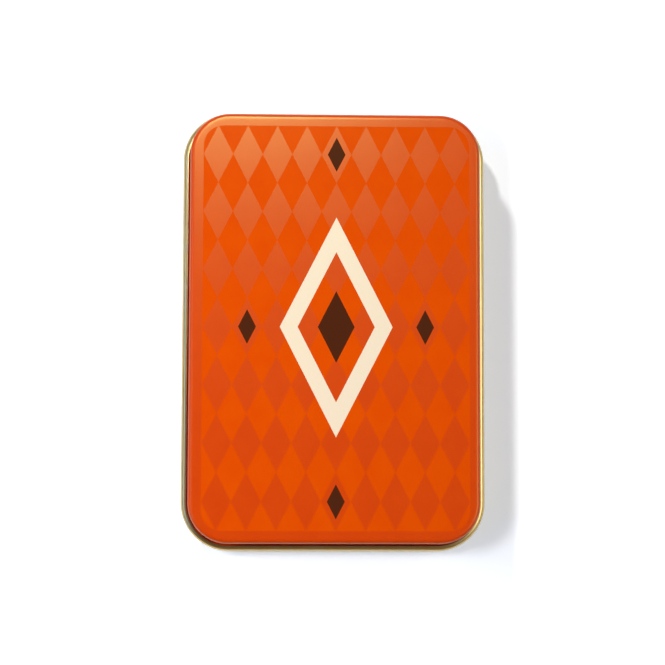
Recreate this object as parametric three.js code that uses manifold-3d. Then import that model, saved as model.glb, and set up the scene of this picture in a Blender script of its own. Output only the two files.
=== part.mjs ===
// Match tin: a flat two-piece tin with a slip lid, holding layers of long matches.
// Millimetres, +Z up. The tin stands on the XY plane with its length along Y and its centre on the Z axis.
import * as THREE from "three";
import { mergeVertices } from "three/addons/utils/BufferGeometryUtils.js";
import Module from "manifold-3d";

const wasm = await Module();
wasm.setup();

// Overall size, over the rolled edge of the lid.
const TIN_WIDTH = 75.8;
const TIN_LENGTH = 110;
const TIN_HEIGHT = 20;

// Tinplate shells.
const SHEET = 0.3;
const CORNER_RADIUS = 9.9; // plan radius of the lid's skirt, outside
const LID_DEPTH = 13; // top of the lid to the underside of its rolled edge
const LID_EDGE_RADIUS = 1.2; // between the lid's top and its skirt, outside
const LID_CURL = 2.45; // outside diameter of the roll round the lid's edge
const LID_CURL_TURN = 280; // degrees that the sheet rolls outwards
const SLIP_CLEARANCE = 0.3; // between the lid's skirt and the base's wall, all round
const SEAT_CLEARANCE = 0.3; // between the lid's top and the base's mouth
const MOUTH_CURL = 1.6; // outside diameter of the roll round the base's mouth
const MOUTH_CURL_TURN = 280; // degrees that the sheet rolls inwards
const FOOT_EDGE_RADIUS = 1.5; // between the base's wall and its foot, outside
const FOOT_WIDTH = 2; // flat of the ring that the tin stands on
const PANEL_SLOPE = 1.6; // plan width of the slope from the foot up to the bottom panel

// Striking strip, glued into the recess under the bottom panel.
const STRIKER_WIDTH = 22;
const STRIKER_END_MARGIN = 8; // striker to the end of the bottom panel, at each end
const STRIKER_THICKNESS = 0.5;
const STRIKER_CORNER_RADIUS = 2;
const STRIKER_RECESS = 0.4; // striker's face above the plane that the tin stands on
const GLUE_LINE = 0.1;

// Matches.
const SPLINT_SIDE = 2.3;
const HEAD_DIAMETER = 3.6;
const HEAD_NOSE = 2.6; // head's tip to its widest place
const HEAD_NECK = 3.9; // head's widest place to where it thins out on the splint
const HEAD_CAP = 1.7; // head beyond the splint's end
const MATCH_GAP = 0.3; // between neighbours, and between the lowest layer and the base
const MATCH_END_CLEARANCE = 1.95; // match to the base's end wall, at each end
const MATCH_STAGGER = 0.8; // how far matches lie out of line at their ends
const MATCH_ROLL = 20; // degrees that matches lie turned about their own length
const STAGGER_STEP = 2.4; // radians from one match to the next, so that no two neighbours lie alike
const SIDE_CLEARANCE = 0.6; // outermost match to the base's wall
const MATCH_LAYERS = 3; // leaves finger room under the lid

// Fineness of the faceted curves.
const CORNER_DIVISIONS = 4; // half the facets of a plan corner
const EDGE_FACETS = 5;
const CURL_FACETS = 14;
const SLOPE_FACETS = 4;
const HEAD_FACETS = 3;
const HEAD_SIDES = 8;

// Plan sizes that follow. Offsets are measured outwards from the outside face of the lid's skirt.
const curlReach = LID_CURL - SHEET;
const skirtHalfWidth = TIN_WIDTH / 2 - curlReach;
const skirtHalfLength = TIN_LENGTH / 2 - curlReach;
const wallOutside = -(SHEET + SLIP_CLEARANCE);
const wallInside = wallOutside - SHEET;
const footOutside = wallOutside - FOOT_EDGE_RADIUS;
const footInside = footOutside - FOOT_WIDTH;
const panelEdge = footInside - PANEL_SLOPE;

// Heights that follow.
const lidUnderside = TIN_HEIGHT - SHEET;
const mouthTop = lidUnderside - SEAT_CLEARANCE;
const panelUnderside = STRIKER_RECESS + STRIKER_THICKNESS + GLUE_LINE;
const panelTop = panelUnderside + SHEET;

const printedTinplate = new THREE.MeshStandardMaterial({ color: 0xd84a06, roughness: 0.4, metalness: 0.1 });
const goldTinplate = new THREE.MeshStandardMaterial({ color: 0xcaa04e, roughness: 0.3, metalness: 1 });
const abrasive = new THREE.MeshStandardMaterial({ color: 0x3a2622, roughness: 0.95, metalness: 0 });
const matchwood = new THREE.MeshStandardMaterial({ color: 0xe3c490, roughness: 0.8, metalness: 0 });

// Draws a rounded rectangle about the origin on a path or shape, anticlockwise from above.
function roundedRectangle(path, halfWidth, halfLength, radius) {
  const x = halfWidth - radius;
  const y = halfLength - radius;
  path.absarc(x, y, radius, 0, Math.PI / 2);
  path.absarc(-x, y, radius, Math.PI / 2, Math.PI);
  path.absarc(-x, -y, radius, Math.PI, 1.5 * Math.PI);
  path.absarc(x, -y, radius, 1.5 * Math.PI, 2 * Math.PI);
  return path;
}

// The tin's plan at an offset from the skirt. Its corners stay parallel until the bend is as tight as the sheet.
function outline(offset) {
  const radius = Math.max(CORNER_RADIUS + offset, SHEET);
  const path = new THREE.Path();
  roundedRectangle(path, skirtHalfWidth + offset, skirtHalfLength + offset, radius);
  return path.getPoints(CORNER_DIVISIONS);
}

// An arc of a shell's section, in (offset, height) coordinates, between two angles in degrees.
function sectionArc(offset, height, radius, from, to, facets) {
  const start = THREE.MathUtils.degToRad(from);
  const end = THREE.MathUtils.degToRad(to);
  return new THREE.EllipseCurve(offset, height, radius, radius, start, end, to < from).getPoints(facets);
}

// A pressed shell: its section is carried round the tin's plan, and each end of it is closed by a flat panel.
// The section runs out along one face of the sheet, turns at the sheet's edge and comes back along the other.
function pressedShell(section) {
  const rings = section.map((point) => outline(point.x).map((p) => new THREE.Vector3(p.x, p.y, point.y)));
  const count = rings[0].length;
  const last = (rings.length - 1) * count;
  const faces = [];
  for (let here = 0; here < last; here += count) {
    const there = here + count;
    for (let k = 0; k < count; k++) {
      const next = (k + 1) % count;
      faces.push(here + k, there + k, there + next, here + k, there + next, here + next);
    }
  }
  for (const [a, b, c] of THREE.ShapeUtils.triangulateShape(outline(section[0].x), [])) {
    faces.push(a, b, c, last + a, last + c, last + b);
  }
  return new THREE.BufferGeometry().setFromPoints(rings.flat()).setIndex(faces);
}

// The lid: flat top, rounded edge, skirt, and an edge rolled outwards so that the inside of the sheet shows.
function lidGeometry() {
  const edgeHeight = TIN_HEIGHT - LID_EDGE_RADIUS;
  const curlInside = LID_CURL / 2 - SHEET;
  const curlHeight = TIN_HEIGHT - LID_DEPTH + LID_CURL / 2;
  const curlEnd = 180 + LID_CURL_TURN;
  return pressedShell([
    ...sectionArc(-LID_EDGE_RADIUS, edgeHeight, LID_EDGE_RADIUS, 90, 0, EDGE_FACETS),
    ...sectionArc(curlInside, curlHeight, curlInside, 180, curlEnd, CURL_FACETS),
    ...sectionArc(curlInside, curlHeight, LID_CURL / 2, curlEnd, 180, CURL_FACETS),
    ...sectionArc(-LID_EDGE_RADIUS, edgeHeight, LID_EDGE_RADIUS - SHEET, 0, 90, EDGE_FACETS),
  ]);
}

// One face of the sheet where it slopes from the foot, at a height, up to the bottom panel.
function panelSlope(height) {
  const middle = (footInside + panelEdge) / 2;
  return new THREE.CubicBezierCurve(
    new THREE.Vector2(footInside, height),
    new THREE.Vector2(middle, height),
    new THREE.Vector2(middle, height + panelUnderside),
    new THREE.Vector2(panelEdge, height + panelUnderside),
  ).getPoints(SLOPE_FACETS);
}

// The base: bottom panel set up inside a flat foot, rounded lower edge, wall, and a mouth rolled inwards.
function baseGeometry() {
  const curlOutside = MOUTH_CURL / 2;
  const curlOffset = wallOutside - curlOutside;
  const curlHeight = mouthTop - curlOutside;
  return pressedShell([
    ...panelSlope(SHEET).reverse(),
    ...sectionArc(footOutside, FOOT_EDGE_RADIUS, FOOT_EDGE_RADIUS - SHEET, 270, 360, EDGE_FACETS),
    ...sectionArc(curlOffset, curlHeight, curlOutside - SHEET, 0, MOUTH_CURL_TURN, CURL_FACETS),
    ...sectionArc(curlOffset, curlHeight, curlOutside, MOUTH_CURL_TURN, 0, CURL_FACETS),
    ...sectionArc(footOutside, FOOT_EDGE_RADIUS, FOOT_EDGE_RADIUS, 360, 270, EDGE_FACETS),
    ...panelSlope(0),
  ]);
}

// The striking strip: a thin abrasive sheet with rounded corners, along the bottom panel.
function strikerGeometry() {
  const halfLength = skirtHalfLength + panelEdge - STRIKER_END_MARGIN;
  const shape = new THREE.Shape();
  roundedRectangle(shape, STRIKER_WIDTH / 2, halfLength, STRIKER_CORNER_RADIUS);
  const options = { depth: STRIKER_THICKNESS, bevelEnabled: false, curveSegments: CORNER_DIVISIONS };
  return new THREE.ExtrudeGeometry(shape, options);
}

// A closed geometry as a solid that can be joined to another.
function solid(geometry) {
  const bare = geometry.clone().deleteAttribute("normal").deleteAttribute("uv");
  const merged = mergeVertices(bare);
  return new wasm.Manifold(
    new wasm.Mesh({
      numProp: 3,
      vertProperties: merged.getAttribute("position").array,
      triVerts: new Uint32Array(merged.index.array),
    }),
  );
}

// A solid as a geometry.
function geometryOf(joined) {
  const mesh = joined.getMesh();
  return new THREE.BufferGeometry()
    .setAttribute("position", new THREE.BufferAttribute(mesh.vertProperties, 3))
    .setIndex(new THREE.BufferAttribute(mesh.triVerts, 1));
}

// One match along Y with its middle at the origin: a square splint whose +Y end is dipped to an egg-shaped head.
function matchGeometry(length) {
  const splint = new THREE.BoxGeometry(SPLINT_SIDE, length - HEAD_CAP, SPLINT_SIDE);
  splint.translate(0, -HEAD_CAP / 2, 0);
  const radius = HEAD_DIAMETER / 2;
  const widest = length / 2 - HEAD_NOSE;
  const neck = new THREE.EllipseCurve(0, widest, radius, HEAD_NECK, -Math.PI / 2, 0).getPoints(HEAD_FACETS);
  const nose = new THREE.EllipseCurve(0, widest, radius, HEAD_NOSE, 0, Math.PI / 2).getPoints(HEAD_FACETS);
  const head = new THREE.LatheGeometry([...neck, ...nose.slice(1)], HEAD_SIDES);
  return geometryOf(solid(splint).add(solid(head)));
}

// Lays the matches in layers, each layer in the hollows of the one below it, as wide as the rounded ends allow.
function layMatches(tin) {
  const length = 2 * (skirtHalfLength + wallInside - MATCH_END_CLEARANCE);
  const geometry = matchGeometry(length);
  const endInCorner = Math.max(0, length / 2 + MATCH_STAGGER - (skirtHalfLength - CORNER_RADIUS));
  const cornerReach = Math.sqrt((CORNER_RADIUS + wallInside) ** 2 - endInCorner ** 2);
  const halfWidth = skirtHalfWidth - CORNER_RADIUS + cornerReach - SIDE_CLEARANCE;
  const pitch = HEAD_DIAMETER + MATCH_GAP;
  const layerPitch = pitch * Math.sin(Math.PI / 3);
  const inWidestLayer = Math.floor((2 * halfWidth - HEAD_DIAMETER) / pitch) + 1;
  const lowest = panelTop + MATCH_GAP + HEAD_DIAMETER / 2;
  let number = 0;
  for (let layer = 0; layer < MATCH_LAYERS; layer++) {
    const inLayer = inWidestLayer - (layer % 2);
    const z = lowest + layer * layerPitch;
    for (let k = 0; k < inLayer; k++) {
      number += 1;
      const match = new THREE.Mesh(geometry, matchwood);
      match.name = `match_${String(number).padStart(2, "0")}`;
      const turn = STAGGER_STEP * number;
      match.position.set((k - (inLayer - 1) / 2) * pitch, MATCH_STAGGER * Math.sin(turn), z);
      match.rotation.y = THREE.MathUtils.degToRad(MATCH_ROLL * Math.cos(turn));
      tin.add(match);
    }
  }
}

const tin = new THREE.Group();

const base = new THREE.Mesh(baseGeometry(), goldTinplate);
base.name = "base";
tin.add(base);

const striker = new THREE.Mesh(strikerGeometry(), abrasive);
striker.name = "striker_strip";
striker.position.z = STRIKER_RECESS;
tin.add(striker);

layMatches(tin);

const lid = new THREE.Mesh(lidGeometry(), printedTinplate);
lid.name = "lid";
tin.add(lid);

export default tin;
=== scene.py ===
# Match tin: a flat two-piece tin of printed and lacquered tinplate, with layers of long matches inside
# and a striking strip underneath. Metres, +Z up, length along Y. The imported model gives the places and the
# outside sizes.
import math

import bmesh
import bpy
from mathutils import Color, Matrix, Vector


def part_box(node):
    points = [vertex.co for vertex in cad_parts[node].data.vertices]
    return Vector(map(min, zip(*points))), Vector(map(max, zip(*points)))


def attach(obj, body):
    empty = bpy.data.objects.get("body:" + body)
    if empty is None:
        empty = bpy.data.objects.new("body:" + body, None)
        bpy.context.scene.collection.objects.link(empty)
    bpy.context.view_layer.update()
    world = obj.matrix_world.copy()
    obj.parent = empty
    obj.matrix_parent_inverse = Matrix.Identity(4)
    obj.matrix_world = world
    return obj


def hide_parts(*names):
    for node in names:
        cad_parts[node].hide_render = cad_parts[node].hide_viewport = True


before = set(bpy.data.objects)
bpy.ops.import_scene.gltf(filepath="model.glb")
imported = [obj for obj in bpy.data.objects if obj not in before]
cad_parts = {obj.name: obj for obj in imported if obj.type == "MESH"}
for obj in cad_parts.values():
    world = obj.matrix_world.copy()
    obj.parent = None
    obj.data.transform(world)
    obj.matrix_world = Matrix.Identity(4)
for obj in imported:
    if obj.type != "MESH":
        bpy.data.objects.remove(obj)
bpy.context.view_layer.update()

# The base: the lower half of the tin, a shallow tray drawn from one blank of gold-lacquered tinplate.
# Its bottom panel is pressed up inside a flat foot ring, which keeps the striker off the table, and the
# raw edge of its mouth is rolled inwards so that it can't cut a finger.
MM = 0.001
SHEET = 0.3 * MM
CORNER_RADIUS = 9.9 * MM  # plan radius of the lid's skirt, outside
CURL_REACH = 2.15 * MM  # rolled edge of the lid beyond its skirt
WALL_INSET = 0.6 * MM  # base's wall inside the lid's skirt
FOOT_EDGE = 1.5 * MM  # radius from the wall to the foot
FOOT_WIDTH = 2.0 * MM
PANEL_SLOPE = 1.6 * MM  # plan width of the slope from the foot to the bottom panel
PANEL_RISE = 1.0 * MM  # underside of the bottom panel above the table
PANEL_BORDER = 0.5 * MM  # flat border that keeps the shading of the edge off the panel
MOUTH_CURL = 0.8 * MM  # outside radius of the mouth's roll
CURL_TURN = 280  # degrees that the sheet rolls round
CORNER_STEPS = 32  # straight steps that make up a bend
CURL_STEPS = 28
FOOT_STEPS = 10
SLOPE_STEPS = 8
MERGE = 0.001 * MM  # points closer than this are one point

LACQUER_DEEP = (216, 186, 118)  # screen values from 0 to 255, as for every coat, wood and ink below
LACQUER_PALE = (232, 204, 138)
LACQUER_THIN = (226, 208, 164)
LACQUER_GLANCE = (0.4, 0.48, 0.62, 1)  # tint of the light that it mirrors at a flat angle
LACQUER_ROUGHNESS = (0.28, 0.36)
LACQUER_CLOUDS = (90, 90, 90)  # grains of noise to the metre along each axis
LACQUER_PATCHES = (260, 160, 260)
ROLLING_LINES = (9000, 90, 9000)
ROLLING_DEPTH = 0.001 * MM
THIN_SPAN = (0.5, 0.8)  # noise values over which the film thins out
THIN_MOST = 0.6
NOISE_SPAN = (0.2, 0.8)  # noise values over which a roughness goes from end to end

lid_low, lid_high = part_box("lid")
_, base_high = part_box("base")
skirt_x = lid_high.x - CURL_REACH
skirt_y = lid_high.y - CURL_REACH
corner = Vector((skirt_x - CORNER_RADIUS, skirt_y - CORNER_RADIUS, 0))


def bend(sheet, tip, centre_x, centre_z, degrees, steps):
    """Carries a section on from its tip along an arc about a centre, and gives the new tip."""
    arc = bmesh.ops.spin(
        sheet,
        geom=[tip],
        cent=(centre_x, corner.y, centre_z),
        axis=(0, 1, 0),
        angle=math.radians(degrees),
        steps=steps,
    )
    return next(part for part in arc["geom_last"] if isinstance(part, bmesh.types.BMVert))


def run(sheet, tip, x, z):
    """Carries a section on from its tip in a straight line, and gives the new tip."""
    line = bmesh.ops.extrude_vert_indiv(sheet, verts=[tip])
    line["verts"][0].co = (x, corner.y, z)
    return line["verts"][0]


def press(sheet, panel_z, panel_faces_up):
    """Carries a section round a quarter of the plan, mirrors that to a whole and closes it with a panel."""
    section = sheet.edges[:]
    swept = bmesh.ops.spin(
        sheet,
        geom=sheet.verts[:] + section,
        cent=corner,
        axis=(0, 0, 1),
        angle=math.radians(90),
        steps=CORNER_STEPS,
    )
    turned = [part for part in swept["geom_last"] if isinstance(part, bmesh.types.BMEdge)]
    for edges, to_middle in ((section, (0, -corner.y, 0)), (turned, (-corner.x, 0, 0))):
        side = bmesh.ops.extrude_edge_only(sheet, edges=edges)["geom"]
        ends = [part for part in side if isinstance(part, bmesh.types.BMVert)]
        bmesh.ops.translate(sheet, verts=ends, vec=to_middle)
    for axis in "XY":
        quarter = sheet.verts[:] + sheet.edges[:] + sheet.faces[:]
        bmesh.ops.mirror(sheet, geom=quarter, merge_dist=MERGE, axis=axis)
    bmesh.ops.remove_doubles(sheet, verts=sheet.verts[:], dist=MERGE)
    open_edges = [edge for edge in sheet.edges if edge.is_boundary]
    rim = [edge for edge in open_edges if all(abs(vertex.co.z - panel_z) < MERGE for vertex in edge.verts)]
    panel = bmesh.ops.contextual_create(sheet, geom=rim)["faces"]
    bmesh.ops.inset_region(sheet, faces=panel, thickness=PANEL_BORDER)
    bmesh.ops.recalc_face_normals(sheet, faces=sheet.faces[:])
    if (panel[0].normal.z > 0) != panel_faces_up:
        bmesh.ops.reverse_faces(sheet, faces=sheet.faces[:])


def finished_piece(name, shape, *finishes):
    """Turns a bmesh into a smooth-shaded object with its materials."""
    for face in shape.faces:
        face.smooth = True
    mesh = bpy.data.meshes.new(name)
    shape.to_mesh(mesh)
    shape.free()
    for finish in finishes:
        mesh.materials.append(finish)
    piece = bpy.data.objects.new(name, mesh)
    bpy.context.scene.collection.objects.link(piece)
    return piece


def give_thickness(piece, inner_finish):
    """Gives a pressed sheet its thickness on the inside, with the finish of the sheet's inner face."""
    wall = piece.modifiers.new("sheet_thickness", "SOLIDIFY")
    wall.thickness = SHEET
    wall.offset = -1
    wall.use_even_offset = True
    wall.material_offset = inner_finish
    wall.material_offset_rim = inner_finish


def shade(screen_values):
    """A colour in screen values from 0 to 255, as a shader takes it."""
    return (*Color([value / 255 for value in screen_values]).from_srgb_to_scene_linear(), 1.0)


def new_finish(name):
    """A material, its node tree and its shader."""
    finish = bpy.data.materials.new(name)
    finish.use_nodes = True
    return finish, finish.node_tree, finish.node_tree.nodes["Principled BSDF"]


def feed(tree, socket, value):
    """Sets a socket to a value, or links it to another socket."""
    if isinstance(value, bpy.types.NodeSocket):
        tree.links.new(value, socket)
    else:
        socket.default_value = value


def spot(tree, stretch=(1, 1, 1), shift=(0, 0, 0)):
    """The piece's own coordinates, stretched and then shifted."""
    coordinates = tree.nodes.new("ShaderNodeTexCoord")
    mapping = tree.nodes.new("ShaderNodeMapping")
    mapping.inputs["Scale"].default_value = stretch
    mapping.inputs["Location"].default_value = shift
    tree.links.new(coordinates.outputs["Object"], mapping.inputs["Vector"])
    return mapping.outputs["Vector"]


def mottle(tree, grains, detail, roughness=0.5):
    """Smooth noise from 0 to 1, with a number of grains to the metre along each axis."""
    noise = tree.nodes.new("ShaderNodeTexNoise")
    noise.inputs["Scale"].default_value = 1
    noise.inputs["Detail"].default_value = detail
    noise.inputs["Roughness"].default_value = roughness
    tree.links.new(spot(tree, grains), noise.inputs["Vector"])
    return noise.outputs["Fac"]


def between(tree, value, low, high, first=0, second=1):
    """A number that goes from first to second as a value goes from low to high."""
    span = tree.nodes.new("ShaderNodeMapRange")
    span.interpolation_type = "SMOOTHSTEP"
    for name, number in (("From Min", low), ("From Max", high), ("To Min", first), ("To Max", second)):
        span.inputs[name].default_value = number
    tree.links.new(value, span.inputs["Value"])
    return span.outputs["Result"]


def blend_shades(tree, factor, first, second):
    """A colour that goes from first to second as a factor goes from 0 to 1."""
    mix = tree.nodes.new("ShaderNodeMix")
    mix.data_type = "RGBA"
    first_socket, second_socket = (socket for socket in mix.inputs if socket.type == "RGBA")
    feed(tree, mix.inputs["Factor"], factor)
    feed(tree, first_socket, first)
    feed(tree, second_socket, second)
    return next(socket for socket in mix.outputs if socket.type == "RGBA")


def relief(tree, height, depth):
    """A bump from a height, which is 0 to 1, over a real depth."""
    bump = tree.nodes.new("ShaderNodeBump")
    bump.inputs["Strength"].default_value = 1
    bump.inputs["Distance"].default_value = depth
    tree.links.new(height, bump.inputs["Height"])
    return bump.outputs["Normal"]


def coat(tree, shader, colour, roughness, normal):
    """Gives a shader the colour, the roughness and the bump of a finish."""
    for socket, value in (("Base Color", colour), ("Roughness", roughness), ("Normal", normal)):
        tree.links.new(value, shader.inputs[socket])


def gold_lacquer():
    """Transparent gold lacquer on bright tinplate: a cloudy film over the rolling lines along the sheet."""
    finish, tree, shader = new_finish("gold_lacquer")
    rolling_lines = mottle(tree, ROLLING_LINES, detail=2)
    clouds = mottle(tree, LACQUER_CLOUDS, detail=3)
    film = blend_shades(tree, clouds, shade(LACQUER_DEEP), shade(LACQUER_PALE))
    thin = between(tree, mottle(tree, LACQUER_PATCHES, detail=4), *THIN_SPAN, 0, THIN_MOST)
    coat(
        tree,
        shader,
        colour=blend_shades(tree, thin, film, shade(LACQUER_THIN)),
        roughness=between(tree, rolling_lines, *NOISE_SPAN, *LACQUER_ROUGHNESS),
        normal=relief(tree, rolling_lines, ROLLING_DEPTH),
    )
    shader.inputs["Metallic"].default_value = 1
    shader.inputs["Specular Tint"].default_value = LACQUER_GLANCE
    return finish


wall_x = skirt_x - WALL_INSET
foot_x = wall_x - FOOT_EDGE
slope_x = foot_x - FOOT_WIDTH
panel_x = slope_x - PANEL_SLOPE
# The slope is two equal bends, one each way, that together span its width and its rise.
slope_turn = math.degrees(2 * math.atan2(PANEL_RISE, PANEL_SLOPE))
slope_radius = PANEL_SLOPE / 2 / math.sin(math.radians(slope_turn))
mouth_z = base_high.z - MOUTH_CURL

tray = bmesh.new()
tip = tray.verts.new((panel_x, corner.y, PANEL_RISE))
tip = bend(tray, tip, panel_x, PANEL_RISE - slope_radius, slope_turn, SLOPE_STEPS)
tip = bend(tray, tip, slope_x, slope_radius, -slope_turn, SLOPE_STEPS)
tip = run(tray, tip, foot_x, 0)
tip = bend(tray, tip, foot_x, FOOT_EDGE, -90, FOOT_STEPS)
tip = run(tray, tip, wall_x, mouth_z)
tip = bend(tray, tip, wall_x - MOUTH_CURL, mouth_z, -CURL_TURN, CURL_STEPS)
press(tray, PANEL_RISE, panel_faces_up=False)

gold_tinplate = gold_lacquer()
base_tray = finished_piece("base_tray", tray, gold_tinplate)
give_thickness(base_tray, inner_finish=0)
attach(base_tray, "base")
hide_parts("base")

# The striker: a strip of paper coated with red phosphorus, powdered glass and glue, on which safety matches
# light. It is cut with rounded corners and glued along the raised panel under the base.
STRIKER_CORNER = 2.0 * MM
STRIKER_CORNER_STEPS = 8
STRIKER_EDGE = 0.12 * MM
EDGE_STEPS = 2  # steps in a finely rounded edge

COAT_DARK = (52, 32, 29)
COAT_PALE = (78, 50, 44)
COAT_STREAKS = (900, 45, 900)  # grains of noise to the metre, as above
COAT_ROUGHNESS = (0.95, 0.7)
GLASS_PALE = (112, 82, 74)
GRIT = (5200, 5200, 5200)
GRIT_DEPTH = 0.12 * MM
GRIT_SPAN = (0.3, 0.8)  # noise values over which the roughness changes
GLASS_SPAN = (0.55, 0.8)  # noise values over which the glass shows

strip_low, strip_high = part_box("striker_strip")
strip_size = strip_high - strip_low
strip_middle = (strip_low + strip_high) / 2


def striker_coating():
    """A dull red-brown coating, with glass grit in it and paler streaks along it where it was rolled on."""
    finish, tree, shader = new_finish("striker_coating")
    grit = mottle(tree, GRIT, detail=4, roughness=0.7)
    streaks = mottle(tree, COAT_STREAKS, detail=3)
    dull = blend_shades(tree, streaks, shade(COAT_DARK), shade(COAT_PALE))
    coat(
        tree,
        shader,
        colour=blend_shades(tree, between(tree, grit, *GLASS_SPAN), dull, shade(GLASS_PALE)),
        roughness=between(tree, grit, *GRIT_SPAN, *COAT_ROUGHNESS),
        normal=relief(tree, grit, GRIT_DEPTH),
    )
    return finish


strip = bmesh.new()
bmesh.ops.create_grid(strip, x_segments=1, y_segments=1, size=0.5)  # a square with sides of 1
bmesh.ops.scale(strip, vec=strip_size, verts=strip.verts[:])
bmesh.ops.bevel(
    strip,
    geom=strip.verts[:],
    offset=STRIKER_CORNER,
    affect="VERTICES",
    segments=STRIKER_CORNER_STEPS,
    profile=0.5,
    material=-1,
)
paper = bmesh.ops.extrude_face_region(strip, geom=strip.faces[:])["geom"]
upper = [part for part in paper if isinstance(part, bmesh.types.BMVert)]
bmesh.ops.translate(strip, verts=upper, vec=(0, 0, strip_size.z))
bmesh.ops.translate(strip, verts=strip.verts[:], vec=(strip_middle.x, strip_middle.y, strip_low.z))
lower_edge = [edge for edge in strip.edges if all(abs(v.co.z - strip_low.z) < MERGE for v in edge.verts)]
bmesh.ops.bevel(
    strip,
    geom=lower_edge,
    offset=STRIKER_EDGE,
    affect="EDGES",
    segments=EDGE_STEPS,
    profile=0.5,
    material=-1,
)
bmesh.ops.recalc_face_normals(strip, faces=strip.faces[:])

striking_strip = finished_piece("striking_strip", strip, striker_coating())
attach(striking_strip, "base")
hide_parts("striker_strip")

# The matches: square splints cut from aspen, with one end dipped to an egg-shaped head. They lie loose in
# layers, each layer in the hollows of the one below, a little out of line and rolled a little.
SPLINT_SIDE = 2.3 * MM
SPLINT_EDGE = 0.12 * MM
HEAD_RADIUS = 1.8 * MM
HEAD_NOSE = 2.6 * MM  # tip of the head to its widest place
HEAD_NECK = 3.9 * MM  # widest place to where the head thins out on the splint
HEAD_CAP = 1.7 * MM  # head beyond the end of the splint
HEAD_STEPS = 20  # round the head
HEAD_RINGS = 14  # along the head
HEAD_FINISH = 1  # the dip's place in a match's list of finishes
MATCH_ROLL = math.radians(20)  # the most that a match is rolled
ROLL_STEP = 2.4  # radians from match to match, in the cosine that rolls them

WOOD_DEEP = (214, 178, 124)
WOOD_PALE = (242, 218, 172)
WOOD_PORE = (176, 132, 82)
WOOD_TONE = (330, 6, 330)  # grains of noise to the metre, as above
WOOD_GRAIN = (3600, 70, 3600)
WOOD_GRAIN_DEPTH = 0.05 * MM
WOOD_ROUGHNESS = (0.62, 0.82)
PORE_SPAN = (0.5, 0.8)  # noise values over which the pores show
PORE_MOST = 0.6
DIP_DARK = (62, 30, 20)
DIP_PALE = (98, 52, 36)
DIP_PIMPLES = (2600, 2600, 2600)
DIP_PIMPLE_DEPTH = 0.1 * MM
DIP_ROUGHNESS = (0.42, 0.62)
MATCH_SPAN = (0.3, 0.7)  # noise values over which the roughness of wood and dip changes


def aspen():
    """Pale wood, with fine grain along the splint and a tone that differs from match to match."""
    finish, tree, shader = new_finish("aspen")
    tone = mottle(tree, WOOD_TONE, detail=1)
    grain = mottle(tree, WOOD_GRAIN, detail=4, roughness=0.6)
    pale_wood = blend_shades(tree, tone, shade(WOOD_DEEP), shade(WOOD_PALE))
    pores = between(tree, grain, *PORE_SPAN, 0, PORE_MOST)
    coat(
        tree,
        shader,
        colour=blend_shades(tree, pores, pale_wood, shade(WOOD_PORE)),
        roughness=between(tree, grain, *MATCH_SPAN, *WOOD_ROUGHNESS),
        normal=relief(tree, grain, WOOD_GRAIN_DEPTH),
    )
    return finish


def dipped_head():
    """The dried dip of a safety match: dark brown, finely pimpled, with a slight wax sheen."""
    finish, tree, shader = new_finish("dipped_head")
    pimples = mottle(tree, DIP_PIMPLES, detail=3)
    coat(
        tree,
        shader,
        colour=blend_shades(tree, pimples, shade(DIP_DARK), shade(DIP_PALE)),
        roughness=between(tree, pimples, *MATCH_SPAN, *DIP_ROUGHNESS),
        normal=relief(tree, pimples, DIP_PIMPLE_DEPTH),
    )
    return finish


wood = aspen()
head_dip = dipped_head()
to_length = Matrix.Rotation(math.radians(-90), 3, "X")  # turns a sphere's poles along the match

for number, name in enumerate(sorted(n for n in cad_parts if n.startswith("match_")), start=1):
    match_low, match_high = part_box(name)
    match_length = match_high.y - match_low.y
    match = bmesh.new()
    bmesh.ops.create_cube(match, size=1)
    bmesh.ops.scale(match, vec=(SPLINT_SIDE, match_length - HEAD_CAP, SPLINT_SIDE), verts=match.verts[:])
    bmesh.ops.translate(match, vec=(0, -HEAD_CAP / 2, 0), verts=match.verts[:])
    bmesh.ops.bevel(
        match,
        geom=match.edges[:],
        offset=SPLINT_EDGE,
        affect="EDGES",
        segments=EDGE_STEPS,
        profile=0.5,
        material=-1,
    )
    splint_faces = set(match.faces)
    ball = bmesh.ops.create_uvsphere(match, u_segments=HEAD_STEPS, v_segments=HEAD_RINGS, radius=HEAD_RADIUS)
    head = ball["verts"]
    bmesh.ops.rotate(match, verts=head, cent=(0, 0, 0), matrix=to_length)
    nose = [vertex for vertex in head if vertex.co.y > MERGE]
    neck = [vertex for vertex in head if vertex.co.y < -MERGE]
    bmesh.ops.scale(match, vec=(1, HEAD_NOSE / HEAD_RADIUS, 1), verts=nose)
    bmesh.ops.scale(match, vec=(1, HEAD_NECK / HEAD_RADIUS, 1), verts=neck)
    bmesh.ops.translate(match, vec=(0, match_length / 2 - HEAD_NOSE, 0), verts=head)
    for face in set(match.faces) - splint_faces:
        face.material_index = HEAD_FINISH
    roll = Matrix.Rotation(MATCH_ROLL * math.cos(ROLL_STEP * number), 4, "Y")
    place = Matrix.Translation((match_low + match_high) / 2)
    bmesh.ops.transform(match, matrix=place @ roll, verts=match.verts[:])
    dressed = finished_piece("dipped_" + name, match, wood, head_dip)
    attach(dressed, "base")
    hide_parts(name)

# The lid: one blank of tinplate, printed flat in four inks and varnished, and then drawn to a shallow cover.
# Its skirt slips over the base, and its raw edge is rolled outwards, which turns the gold-lacquered inside
# of the sheet out as a bead all round.
LID_EDGE = 1.2 * MM  # radius from the top to the skirt, outside
LID_EDGE_STEPS = 12
LID_CURL = 1.225 * MM  # outside radius of the rolled edge

lid_curl_inside = LID_CURL - SHEET
lid_curl_z = lid_low.z + LID_CURL

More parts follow.
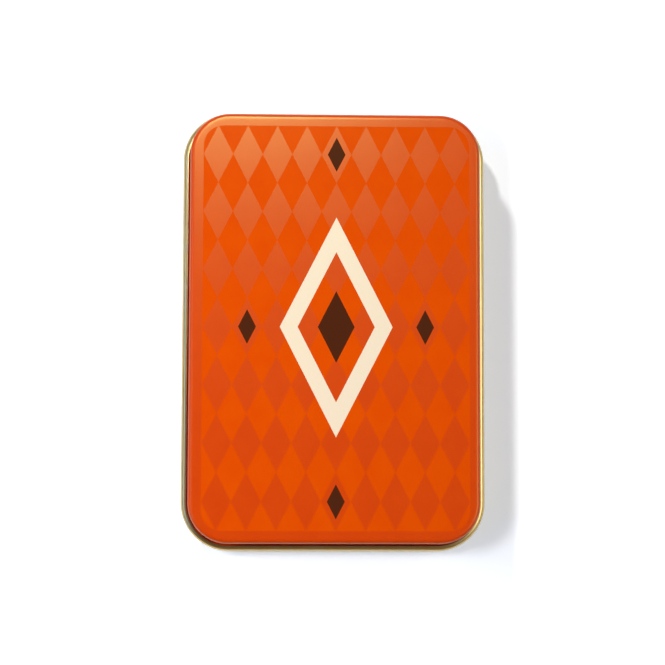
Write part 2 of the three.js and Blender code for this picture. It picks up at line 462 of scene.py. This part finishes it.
cover = bmesh.new()
tip = cover.verts.new((skirt_x - LID_EDGE, corner.y, lid_high.z))
tip = bend(cover, tip, skirt_x - LID_EDGE, lid_high.z - LID_EDGE, 90, LID_EDGE_STEPS)
tip = run(cover, tip, skirt_x, lid_curl_z)
tip = bend(cover, tip, skirt_x + lid_curl_inside, lid_curl_z, -CURL_TURN, CURL_STEPS)
press(cover, lid_high.z, panel_faces_up=True)

# The print is a harlequin lattice of tall lozenges, in a matt and a glossy orange, inside a rounded panel.
# A cream lozenge frame with a brown lozenge in it stands in the middle, and four small brown lozenges
# stand round it.
PRINT_WIDTH = 65.5  # these sizes are millimetres, as the print's own coordinates are
PRINT_LENGTH = 99.5
PRINT_CORNER = 5.0
PRINT_SHIFT = (0.3, 0.0, 0.0)  # how far the print is out of register with the lid
LOZENGES_ACROSS = 9
LOZENGES_ALONG = 7
FRAME_OUTSIDE = 1.9  # half-sizes of the ornaments, counted in lozenges
FRAME_INSIDE = 1.3
CORE = 0.62
SMALL_LOZENGE = 0.3
SMALL_LOZENGE_PLACE = 3

MATT_ORANGES = ((205, 57, 0), (213, 66, 0))  # where the ink film is deep and where it is thin
GLOSSY_ORANGES = ((219, 70, 0), (227, 82, 0))
CREAM_INK = (242, 222, 191)
BROWN_INK = (77, 34, 16)
INK_CLOUDS = (160, 160, 160)  # grains of noise to the metre, as above
VARNISH_GRAIN = (2200, 2200, 2200)
VARNISH_GRAIN_DEPTH = 0.0008 * MM
VARNISH_ROUGHNESS = (0.29, 0.31)
VARNISH_GLOSS = 0.19  # how much smoother it is on the glossy orange and the brown
VARNISH_MIRROR = 0.7  # strength and tint of what it mirrors
VARNISH_TINT = (0.85, 1, 0.36, 1)


def reckon(tree, operation, first, second=0.0):
    """The result of a sum on two numbers or sockets, or on one."""
    node = tree.nodes.new("ShaderNodeMath")
    node.operation = operation
    for socket, value in zip(node.inputs, (first, second)):
        feed(tree, socket, value)
    return node.outputs["Value"]


def print_places(tree):
    """Where the glossy orange, the cream and the brown lie: numbers that are 1 there and 0 elsewhere."""
    axes = tree.nodes.new("ShaderNodeSeparateXYZ")
    in_millimetres = spot(tree, (1 / MM, 1 / MM, 1 / MM), [-shift for shift in PRINT_SHIFT])
    tree.links.new(in_millimetres, axes.inputs["Vector"])

    def past_corner(axis, size):
        """How far a point lies beyond the straight part of the panel's side, squared."""
        off_middle = reckon(tree, "ABSOLUTE", axes.outputs[axis])
        beyond = reckon(tree, "SUBTRACT", off_middle, size / 2 - PRINT_CORNER)
        return reckon(tree, "POWER", reckon(tree, "MAXIMUM", beyond, 0.0), 2)

    from_corner = reckon(tree, "ADD", past_corner("X", PRINT_WIDTH), past_corner("Y", PRINT_LENGTH))
    in_panel = reckon(tree, "LESS_THAN", from_corner, PRINT_CORNER**2)

    across = reckon(tree, "MULTIPLY", axes.outputs["X"], LOZENGES_ACROSS / PRINT_WIDTH)
    along = reckon(tree, "MULTIPLY", axes.outputs["Y"], LOZENGES_ALONG / PRINT_LENGTH)
    row = reckon(tree, "ROUND", reckon(tree, "ADD", across, along))
    column = reckon(tree, "ROUND", reckon(tree, "SUBTRACT", across, along))
    odd = reckon(tree, "FLOORED_MODULO", reckon(tree, "ADD", row, column), 2)
    glossy = reckon(tree, "MULTIPLY", odd, in_panel)

    right = reckon(tree, "ABSOLUTE", across)
    up = reckon(tree, "ABSOLUTE", along)

    def lozenge(half_size, centre_across=0, centre_along=0):
        """The inside of an ornament and of its mirror image, counted in lozenges."""
        aside = reckon(tree, "ABSOLUTE", reckon(tree, "SUBTRACT", right, centre_across))
        above = reckon(tree, "ABSOLUTE", reckon(tree, "SUBTRACT", up, centre_along))
        return reckon(tree, "LESS_THAN", reckon(tree, "ADD", aside, above), half_size)

    cream = reckon(tree, "SUBTRACT", lozenge(FRAME_OUTSIDE), lozenge(FRAME_INSIDE))
    at_sides = lozenge(SMALL_LOZENGE, centre_across=SMALL_LOZENGE_PLACE)
    at_ends = lozenge(SMALL_LOZENGE, centre_along=SMALL_LOZENGE_PLACE)
    brown = reckon(tree, "MAXIMUM", lozenge(CORE), reckon(tree, "MAXIMUM", at_sides, at_ends))
    return glossy, cream, brown


def orange_print():
    """Two oranges, cream and brown over the whole outside of the lid, under a satin varnish."""
    finish, tree, shader = new_finish("orange_print")
    glossy, cream, brown = print_places(tree)
    ink_film = mottle(tree, INK_CLOUDS, detail=4)
    oranges = []
    for deep, thin in (MATT_ORANGES, GLOSSY_ORANGES):
        oranges.append(blend_shades(tree, ink_film, shade(deep), shade(thin)))
    colour = blend_shades(tree, glossy, *oranges)
    colour = blend_shades(tree, cream, colour, shade(CREAM_INK))
    colour = blend_shades(tree, brown, colour, shade(BROWN_INK))

    varnish_grain = mottle(tree, VARNISH_GRAIN, detail=2)
    matt_roughness = between(tree, varnish_grain, *NOISE_SPAN, *VARNISH_ROUGHNESS)
    smooth = reckon(tree, "SUBTRACT", reckon(tree, "MAXIMUM", glossy, brown), cream)
    smoothing = reckon(tree, "MULTIPLY", reckon(tree, "MAXIMUM", smooth, 0.0), VARNISH_GLOSS)
    coat(
        tree,
        shader,
        colour=colour,
        roughness=reckon(tree, "SUBTRACT", matt_roughness, smoothing),
        normal=relief(tree, varnish_grain, VARNISH_GRAIN_DEPTH),
    )
    shader.inputs["Specular IOR Level"].default_value = VARNISH_MIRROR
    shader.inputs["Specular Tint"].default_value = VARNISH_TINT
    return finish


printed_lid = finished_piece("printed_lid", cover, orange_print(), gold_tinplate)
give_thickness(printed_lid, inner_finish=1)
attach(printed_lid, "lid")
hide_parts("lid")

# The table: a sheet of white paper that the tin lies on and throws its shadow on. A glow that only the
# camera and reflections see keeps the shadow pale, and is white by itself far off, where the lamps don't
# reach. To the light that it throws back on the tin the paper is grey.
TABLE_REACH = 30.0
PAPER_WHITE = (1, 1, 1, 1)
PAPER_GREY = (0.45, 0.45, 0.45, 1)
GLOW_SEEN = 0.285  # to the camera, beside the tin
GLOW_REFLECTED = 0.05  # in reflections, beside the tin
GLOW_TINT = (0.875, 1.0, 1.12, 1)  # takes the warm light from the lid's side out of the shadow
# Painted light: a little way off the tin the glow is raised, so the pale shadow of one lamp alone doesn't
# show there.
GLOW_AROUND = 0.075  # what the glow gains a little way off the tin
AROUND_WIDTH = 0.048  # half-sizes of the place round the tin that stays without that gain
AROUND_LENGTH = 0.0555
AROUND_FADE = 0.008
GLOW_NEAR = 0.15  # from here on the glow rises, and at the far distance it is white
GLOW_FAR = 0.6


def sheet_glow(tree, seen, reflected):
    """A glow for the camera and for reflections, weak beside the tin and white far off."""
    place_on_sheet = spot(tree)
    from_middle = tree.nodes.new("ShaderNodeVectorMath")
    from_middle.operation = "LENGTH"
    tree.links.new(place_on_sheet, from_middle.inputs["Vector"])
    distance = from_middle.outputs["Value"]
    axes = tree.nodes.new("ShaderNodeSeparateXYZ")
    tree.links.new(place_on_sheet, axes.inputs["Vector"])
    off_tin = []
    for axis, reach in (("X", AROUND_WIDTH), ("Y", AROUND_LENGTH)):
        off_middle = reckon(tree, "ABSOLUTE", axes.outputs[axis])
        off_tin.append(reckon(tree, "SUBTRACT", off_middle, reach))
    # Painted light just beyond the tin's outline, which washes out the pale shadows that single lamps throw
    # there.
    gain = between(tree, reckon(tree, "MAXIMUM", *off_tin), 0, AROUND_FADE, 0, GLOW_AROUND)
    glows = []
    for ray, strength in ((seen, GLOW_SEEN), (reflected, GLOW_REFLECTED)):
        here = between(tree, distance, GLOW_NEAR, GLOW_FAR, strength, 1)
        glows.append(reckon(tree, "MULTIPLY", ray, reckon(tree, "ADD", here, gain)))
    far_off = between(tree, distance, GLOW_NEAR, GLOW_FAR)
    glow = tree.nodes.new("ShaderNodeEmission")
    feed(tree, glow.inputs["Color"], blend_shades(tree, far_off, GLOW_TINT, PAPER_WHITE))
    feed(tree, glow.inputs["Strength"], reckon(tree, "MAXIMUM", *glows))
    return glow.outputs["Emission"]


def white_sheet():
    """White paper to the camera and to reflections, grey paper to all other light."""
    finish, tree, shader = new_finish("white_sheet")
    tree.nodes.remove(shader)
    rays = tree.nodes.new("ShaderNodeLightPath")
    seen = rays.outputs["Is Camera Ray"]
    reflected = reckon(tree, "MAXIMUM", rays.outputs["Is Glossy Ray"], rays.outputs["Is Transmission Ray"])
    shown = reckon(tree, "MAXIMUM", seen, reflected)
    face = tree.nodes.new("ShaderNodeBsdfDiffuse")
    feed(tree, face.inputs["Color"], blend_shades(tree, shown, PAPER_GREY, PAPER_WHITE))
    both = tree.nodes.new("ShaderNodeAddShader")
    for socket, layer in zip(both.inputs, (face.outputs["BSDF"], sheet_glow(tree, seen, reflected))):
        tree.links.new(layer, socket)
    tree.links.new(both.outputs["Shader"], tree.nodes["Material Output"].inputs["Surface"])
    return finish


table = bmesh.new()
bmesh.ops.create_grid(table, x_segments=1, y_segments=1, size=TABLE_REACH)
finished_piece("table", table, white_sheet())

# The light: a soft box on the left and one far behind on the left, whose shadows overlap to one dark shadow
# on the right, and a box behind that shows only in glossy finishes. The studio round them is dim, warmer in
# front, with bright raised sides that show in the rolled edge: white on the right, cool on the left.
STUDIO_DIM = (0.05, 0.045, 0.04, 1)
STUDIO_FRONT = (0.2, 0.14, 0.09, 1)
STUDIO_RIGHT = (2.6, 2.6, 2.6, 1)
STUDIO_LEFT = (1.05, 1.5, 2.8, 1)
FRONT_SPAN = (-0.3, -0.8)  # Y of a direction, from where the front begins to where it is full
RIGHT_SPAN = (0.3, 0.6)  # X of a direction, in the same way, for each side
LEFT_SPAN = (-0.45, -0.75)
RAISED_SPAN = (0.4, 0.6)  # Z of a direction, for both sides
ABREAST_SPAN = (0.55, 0.25)  # Y of a direction, forwards or back, for both sides


def turn_to(back):
    """The turn of a lamp or a camera whose back points along a direction, with its top towards +Y."""
    sideways = Vector((0, 1, 0)).cross(back).normalized()
    return Matrix((sideways, back.cross(sideways), back)).transposed().to_4x4()


def soft_box(name, place, size, power):
    """A square lamp that faces the tin."""
    lamp = bpy.data.lights.new(name, "AREA")
    lamp.size = size
    lamp.energy = power
    box = bpy.data.objects.new(name, lamp)
    box.matrix_world = Matrix.Translation(place) @ turn_to(Vector(place).normalized())
    box.visible_camera = False
    bpy.context.scene.collection.objects.link(box)
    return box


left_box = soft_box("left_box", place=(-0.1436, -0.01, 0.315), size=0.06, power=0.475)
back_box = soft_box("back_box", place=(-0.5, 0.795, 0.9), size=0.108, power=8.2)
gloss_box = soft_box("gloss_box", place=(-0.04, 0.19, 0.3), size=0.12, power=0.94)
left_box.visible_glossy = False
back_box.visible_glossy = False
gloss_box.visible_diffuse = False

studio = bpy.data.worlds.new("studio")
studio.use_nodes = True
bpy.context.scene.world = studio
studio_tree = studio.node_tree
direction = studio_tree.nodes.new("ShaderNodeTexCoord")
towards = studio_tree.nodes.new("ShaderNodeSeparateXYZ")
studio_tree.links.new(direction.outputs["Generated"], towards.inputs["Vector"])
abreast = between(studio_tree, reckon(studio_tree, "ABSOLUTE", towards.outputs["Y"]), *ABREAST_SPAN)
raised = between(studio_tree, towards.outputs["Z"], *RAISED_SPAN)
beside_tin = reckon(studio_tree, "MULTIPLY", abreast, raised)
in_front = between(studio_tree, towards.outputs["Y"], *FRONT_SPAN)
light = blend_shades(studio_tree, in_front, STUDIO_DIM, STUDIO_FRONT)
for span, tint in ((RIGHT_SPAN, STUDIO_RIGHT), (LEFT_SPAN, STUDIO_LEFT)):
    on_side = between(studio_tree, towards.outputs["X"], *span)
    light = blend_shades(studio_tree, reckon(studio_tree, "MULTIPLY", beside_tin, on_side), light, tint)
feed(studio_tree, studio_tree.nodes["Background"].inputs["Color"], light)

# The camera: almost straight above, a little under half a metre off, and leaning a little to the front and
# the left of the tin, so that the far rolled edge is just hidden behind the lid.
PHOTO_SIDE = 665  # pixels
FOCAL_LENGTH = 1838  # pixels
SENSOR = 36.0  # millimetres
DISTANCE = 0.46
TILT = math.radians(4.6)  # to the front
LEAN = math.radians(-1.88)  # to the left
ROLL = math.radians(0.162)
AIM = Vector((-0.285, -0.555, 10)) * MM

viewpoint = bpy.data.cameras.new("viewpoint")
viewpoint.sensor_width = SENSOR
viewpoint.lens = SENSOR * FOCAL_LENGTH / PHOTO_SIDE
camera = bpy.data.objects.new("camera", viewpoint)
back = Vector((math.sin(LEAN) * math.cos(TILT), -math.sin(TILT), math.cos(LEAN) * math.cos(TILT)))
back.normalize()
view_place = Matrix.Translation(AIM + DISTANCE * back)
camera.matrix_world = view_place @ turn_to(back) @ Matrix.Rotation(ROLL, 4, "Z")
bpy.context.scene.collection.objects.link(camera)
bpy.context.scene.camera = camera
bpy.context.scene.view_settings.view_transform = "Standard"
